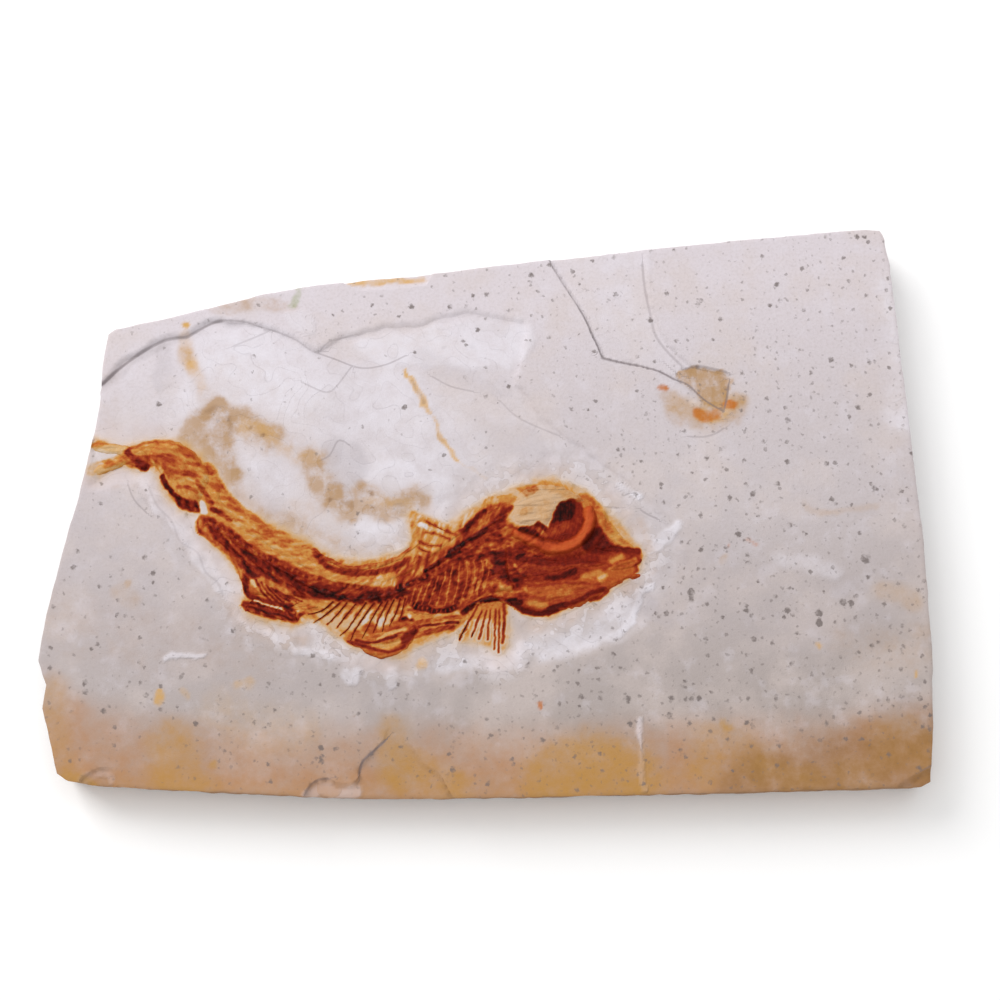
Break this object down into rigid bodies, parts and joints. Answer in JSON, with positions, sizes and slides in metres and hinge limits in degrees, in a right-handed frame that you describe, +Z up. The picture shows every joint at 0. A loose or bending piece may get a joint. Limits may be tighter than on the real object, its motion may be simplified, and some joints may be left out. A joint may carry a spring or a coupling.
{
  "type": "fossil fish slab",
  "caption": "Flat limestone plate lying face up, with an arched fossil fish skeleton fixed in a shallow cleared hollow of its upper face.",
  "frame": {"origin": "under the middle of the plate's box, on its flat resting face", "axes": "+X along the plate from tail to snout, +Y across it, +Z up out of the face that holds the fish"},
  "size_m": [0.148, 0.0978, 0.0101],
  "materials": {
    "limestone": "matt split limestone, pale grey with ochre stains and dark specks",
    "dark_bone": "glossy iron-stained fossil bone, nearly black",
    "red_bone": "glossy iron-stained fossil bone, red-brown",
    "amber_bone": "satin iron-stained fossil bone, amber",
    "sandy_bone": "matt sandy filling over the skull"
  },
  "bodies": {
    "root": {"slab": "limestone", "tail_fin": "amber_bone", "tail_stalk": "amber_bone", "backbone": "dark_bone", "nerve_spines": "amber_bone", "back_ridge": "red_bone", "hind_spines": "red_bone", "belly_rays": "dark_bone", "ribs": "amber_bone", "keel": "dark_bone", "anal_fin": "red_bone", "pelvic_fin": "red_bone", "pelvic_bone": "amber_bone", "pectoral_fin": "dark_bone", "dorsal_fin": "amber_bone", "shoulder_arc": "dark_bone", "gill_cover": "red_bone", "cheek": "red_bone", "eye_floor": "dark_bone", "eye_ring": "amber_bone", "skull_roof": "sandy_bone", "snout": "red_bone", "upper_jaw": "amber_bone", "lower_jaw": "amber_bone"}
  },
  "joints": []
}
